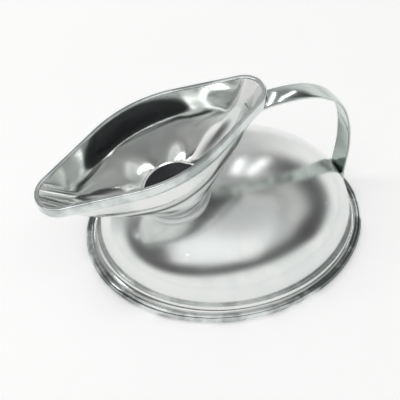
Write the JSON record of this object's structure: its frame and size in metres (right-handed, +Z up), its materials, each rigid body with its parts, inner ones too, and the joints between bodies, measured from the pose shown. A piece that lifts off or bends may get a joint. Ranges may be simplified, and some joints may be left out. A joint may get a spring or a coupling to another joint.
{
  "type": "female-pattern bedpan",
  "caption": "Polished steel bedpan: low oval domed bowl with a rolled foot, lozenge-shaped mouth funnel on a short throat, and an arched flat strap handle.",
  "frame": {"origin": "centre of the oval foot, on the surface that the pan stands on", "axes": "+Z up; +X along the pan, from the low tip of the mouth towards the handle; the plane Y = 0 is the plane of symmetry"},
  "size_m": [0.2196, 0.158, 0.1166],
  "materials": {
    "polished_steel": "mirror-polished stainless steel",
    "strap_steel": "polished stainless strip",
    "weld_metal": "weld, ground and buffed"
  },
  "bodies": {
    "root": {"bowl_dome": "polished_steel", "base_pan": "polished_steel", "throat_neck": "polished_steel", "neck_to_bowl_weld": "weld_metal", "mouth_funnel": "polished_steel", "neck_to_funnel_weld": "weld_metal", "mouth_rim": "polished_steel", "handle_strap": "strap_steel", "handle_top_weld": "weld_metal", "handle_foot_weld": "weld_metal"}
  },
  "joints": []
}
